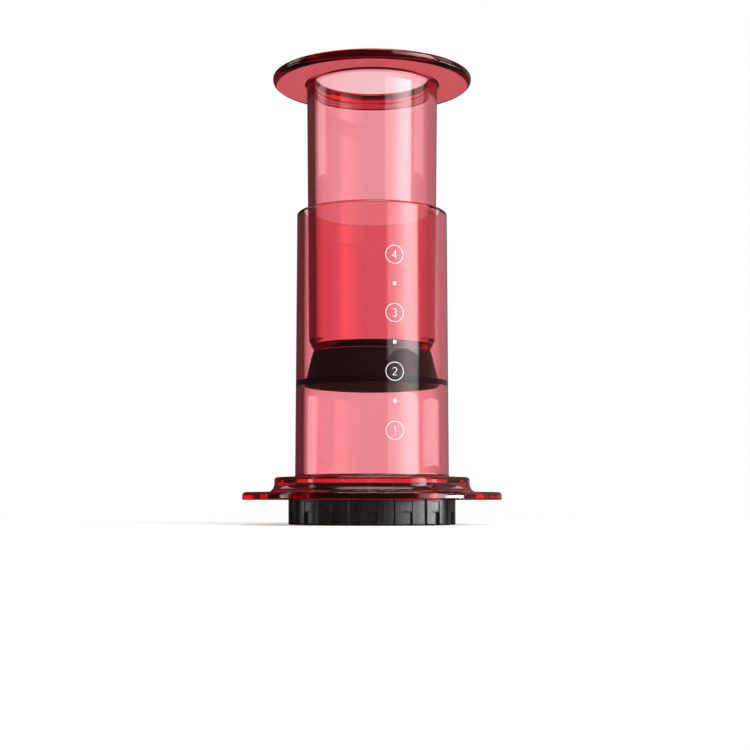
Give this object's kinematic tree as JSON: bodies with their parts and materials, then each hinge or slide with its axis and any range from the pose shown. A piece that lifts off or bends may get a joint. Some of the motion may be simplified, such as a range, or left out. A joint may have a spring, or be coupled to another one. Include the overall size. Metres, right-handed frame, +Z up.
{
  "type": "piston coffee press",
  "caption": "Hand-held piston coffee press: clear red chamber with a hexagonal flange, clear plunger, rubber seal, twist-off filter cap and round paper filter.",
  "frame": {"origin": "centre of the filter cap's underside, on the common axis of all the turned pieces", "axes": "+Z up along the bore; the side seen in the picture faces -Y; two corners of the hexagonal flange lie on +X and -X"},
  "size_m": [0.1076, 0.1006, 0.189],
  "materials": {
    "chamber": "clear red, polished",
    "plunger": "clear red, polished",
    "plunger_seal": "matt black rubber",
    "filter_cap": "satin black",
    "paper_filter": "plain white filter paper"
  },
  "bodies": {
    "chamber": {"chamber": "chamber"},
    "piston": {"plunger_seal": "plunger_seal"},
    "plunger": {"plunger": "plunger"},
    "cap": {"filter_cap": "filter_cap", "paper_filter": "paper_filter"}
  },
  "joints": [
    {"name": "piston_slide", "type": "slide", "parent": "chamber", "child": "piston", "axis": [0, 0, 1], "range_m": [-0.052, 0.08]},
    {"name": "plunger_turn", "type": "hinge", "parent": "piston", "child": "plunger", "pos_m": [0, 0, 0.0717], "axis": [0, 0, 1], "continuous": true},
    {"name": "cap_twist", "type": "hinge", "parent": "chamber", "child": "cap", "pos_m": [0, 0, 0], "axis": [0, 0, 1], "range_deg": [-33, 0]}
  ]
}
